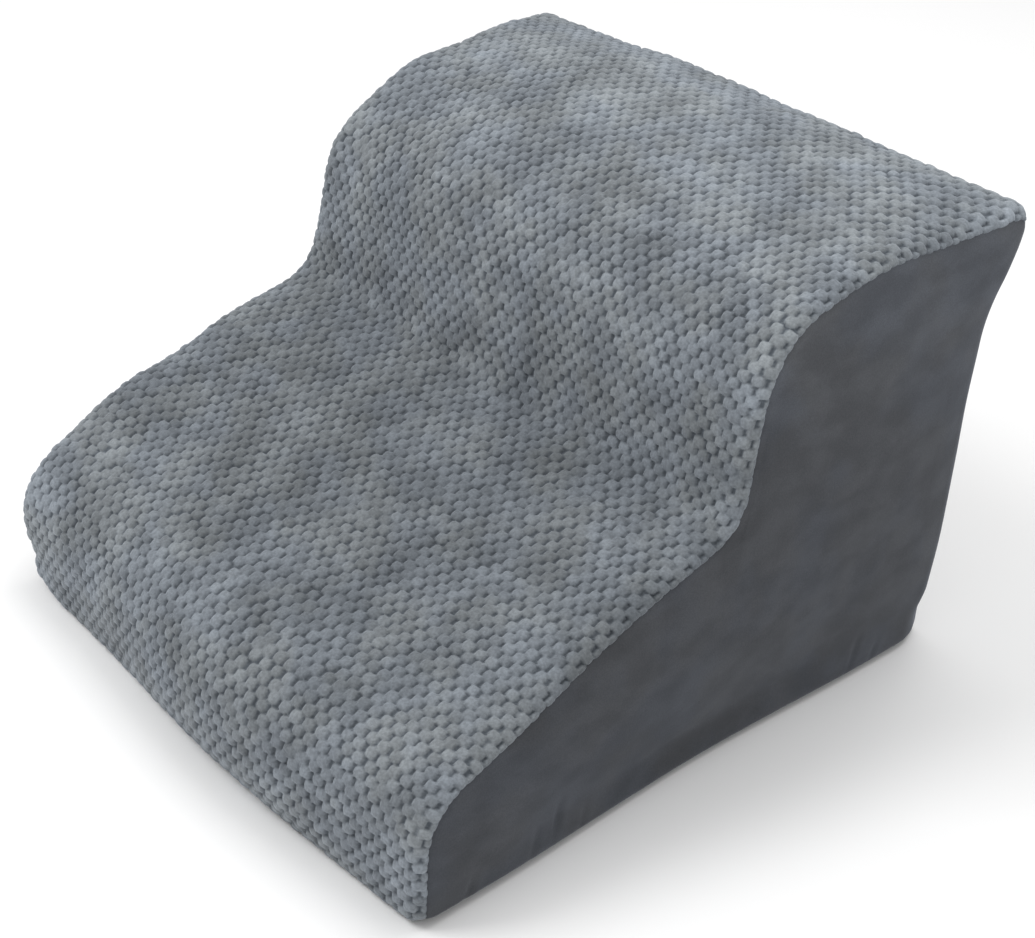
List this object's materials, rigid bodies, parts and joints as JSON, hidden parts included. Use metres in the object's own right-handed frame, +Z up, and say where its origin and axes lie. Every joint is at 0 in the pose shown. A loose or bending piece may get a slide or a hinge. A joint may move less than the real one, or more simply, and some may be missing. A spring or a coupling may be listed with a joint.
{
  "type": "dog ramp",
  "caption": "Low foam pet ramp with sloped treads and a riser, in a zipped cover of nubbed plush and smooth velvet.",
  "frame": {"origin": "centre of the overall box, on the floor that the ramp stands on", "axes": "+Z up; a dog walks up towards +Y, so the low front faces -Y and the zipped back faces +Y; X runs across the ramp"},
  "size_m": [0.4, 0.4344, 0.312],
  "materials": {
    "plush": "nubbed grey plush, cloudy where the pile lies differently",
    "velvet": "short-pile dark grey velvet, matt with a faint nap",
    "non_slip": "black woven fabric with small rubber dots",
    "foam": "open-cell polyurethane foam, off-white",
    "zip_tape": "woven polyester tape",
    "zip_coil": "dark grey nylon monofilament",
    "zip_metal": "gunmetal plated zinc, slightly worn on its edges",
    "label": "blank white satin ribbon"
  },
  "bodies": {
    "cover": {"foam_core": "foam", "tread_panel": "plush", "side_panel_left": "velvet", "side_panel_right": "velvet", "back_panel": "velvet", "back_strip": "velvet", "base_panel": "non_slip", "care_label": "label", "zip_tape_upper": "zip_tape", "zip_tape_lower": "zip_tape", "zip_coil_upper": "zip_coil", "zip_coil_lower": "zip_coil", "zip_bottom_stop": "zip_metal", "zip_top_stop_upper": "zip_metal", "zip_top_stop_lower": "zip_metal"},
    "slider": {"zip_slider": "zip_metal", "zip_slider_crown": "zip_metal"},
    "pull": {"zip_pull": "zip_metal"}
  },
  "joints": [
    {"name": "zip_slide", "type": "slide", "parent": "cover", "child": "slider", "axis": [-1, 0, 0], "range_m": [0, 0.346]},
    {"name": "pull_tilt", "type": "hinge", "parent": "slider", "child": "pull", "pos_m": [0.173, 0.21525, 0.03], "axis": [0, 0, -1], "range_deg": [0, 170]}
  ]
}
